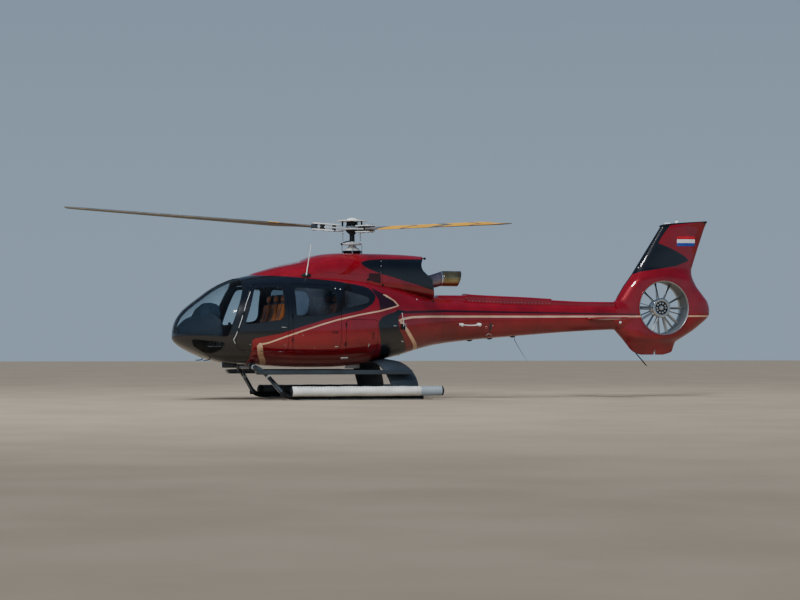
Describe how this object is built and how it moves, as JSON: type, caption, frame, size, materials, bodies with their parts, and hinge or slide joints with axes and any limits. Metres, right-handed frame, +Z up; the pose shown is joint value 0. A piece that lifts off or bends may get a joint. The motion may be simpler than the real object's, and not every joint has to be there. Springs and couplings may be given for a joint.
{
  "type": "helicopter",
  "caption": "Light single-engine helicopter parked on skids, with a wide glazed cabin, hinged doors, a rotor on a short mast and a shrouded fan in its tail fin.",
  "frame": {"origin": "middle of the flat hook plate's underside, under the belly below the rotor mast", "axes": "+X aft along the body, +Y to the right-hand side, +Z up"},
  "size_m": [12.3891, 8.9068, 3.5538],
  "materials": {
    "painted_shell_red": "gloss",
    "painted_shell_dark": "gloss",
    "window_glass": "polished",
    "seat_leather": "satin",
    "cabin_trim": "matte",
    "engine_block": "satin",
    "exhaust_steel": "satin",
    "fan_aluminium": "satin",
    "gear_tube": "satin",
    "gear_fairing": "satin",
    "float_fabric": "matte",
    "rotor_metal": "satin",
    "blade_composite": "matte"
  },
  "bodies": {
    "airframe": {"nose_frame": "painted_shell_dark", "door_pillar_left": "painted_shell_dark", "door_pillar_right": "painted_shell_dark", "cabin_roof": "painted_shell_red", "cabin_floor": "painted_shell_red", "rear_body": "painted_shell_red", "mast_cowl": "painted_shell_red", "engine_cowl": "painted_shell_red", "tail_boom": "painted_shell_red", "shaft_cover": "painted_shell_red", "tail_fin": "painted_shell_red", "stabilizer_left": "painted_shell_red", "stabilizer_right": "painted_shell_red", "cabin_bulkhead": "cabin_trim", "instrument_panel": "cabin_trim", "quarter_glass_left": "window_glass", "quarter_glass_right": "window_glass", "windscreen_left": "window_glass", "windscreen_right": "window_glass", "chin_glass_left": "window_glass", "chin_glass_right": "window_glass", "front_seats": "seat_leather", "rear_seats": "seat_leather", "engine": "engine_block", "exhaust_pipe": "exhaust_steel", "duct_liner": "fan_aluminium", "fan_stator": "fan_aluminium", "front_cross_tube": "gear_tube", "tail_skid": "gear_tube", "skid_left": "gear_tube", "skid_right": "gear_tube", "rear_cross_tube": "gear_fairing", "step_board_left": "gear_fairing", "step_board_right": "gear_fairing", "float_cover_left": "float_fabric", "float_cover_right": "float_fabric", "mast_base": "rotor_metal"},
    "main_rotor": {"rotor_head": "rotor_metal", "blade_1": "blade_composite", "blade_2": "blade_composite", "blade_3": "blade_composite"},
    "tail_fan": {"fan_rotor": "fan_aluminium"},
    "front_door_left": {"front_door_left": "painted_shell_dark", "front_door_glass_left": "window_glass"},
    "front_door_right": {"front_door_right": "painted_shell_dark", "front_door_glass_right": "window_glass"},
    "rear_door_left": {"rear_door_left": "painted_shell_red", "rear_door_glass_left": "window_glass"},
    "rear_door_right": {"rear_door_right": "painted_shell_red", "rear_door_glass_right": "window_glass"},
    "baggage_door_left": {"baggage_door_left": "painted_shell_red"},
    "baggage_door_right": {"baggage_door_right": "painted_shell_red"}
  },
  "joints": [
    {"name": "rotor_spin", "type": "hinge", "parent": "airframe", "child": "main_rotor", "pos_m": [0, 0, 2.5], "axis": [0, 0, 1], "continuous": true},
    {"name": "fan_spin", "type": "hinge", "parent": "airframe", "child": "tail_fan", "pos_m": [6.232, 0, 1.158], "axis": [0, 1, 0], "continuous": true},
    {"name": "front_door_left_hinge", "type": "hinge", "parent": "airframe", "child": "front_door_left", "pos_m": [-2.378, -0.903, 0.695], "axis": [-0.3133, -0.0222, -0.9494], "range_deg": [0, 70]},
    {"name": "front_door_right_hinge", "type": "hinge", "parent": "airframe", "child": "front_door_right", "pos_m": [-2.378, 0.903, 0.695], "axis": [0.3133, -0.0222, 0.9494], "range_deg": [0, 70]},
    {"name": "rear_door_left_hinge", "type": "hinge", "parent": "airframe", "child": "rear_door_left", "pos_m": [-1.404, -1.018, 0.525], "axis": [0, 0, -1], "range_deg": [0, 70]},
    {"name": "rear_door_right_hinge", "type": "hinge", "parent": "airframe", "child": "rear_door_right", "pos_m": [-1.404, 1.018, 0.525], "axis": [0, 0, 1], "range_deg": [0, 70]},
    {"name": "baggage_door_left_hinge", "type": "hinge", "parent": "airframe", "child": "baggage_door_left", "pos_m": [-0.409, -0.985, 0.445], "axis": [0, 0.0712, -0.9975], "range_deg": [0, 75]},
    {"name": "baggage_door_right_hinge", "type": "hinge", "parent": "airframe", "child": "baggage_door_right", "pos_m": [-0.409, 0.985, 0.445], "axis": [0, 0.0712, 0.9975], "range_deg": [0, 75]}
  ]
}
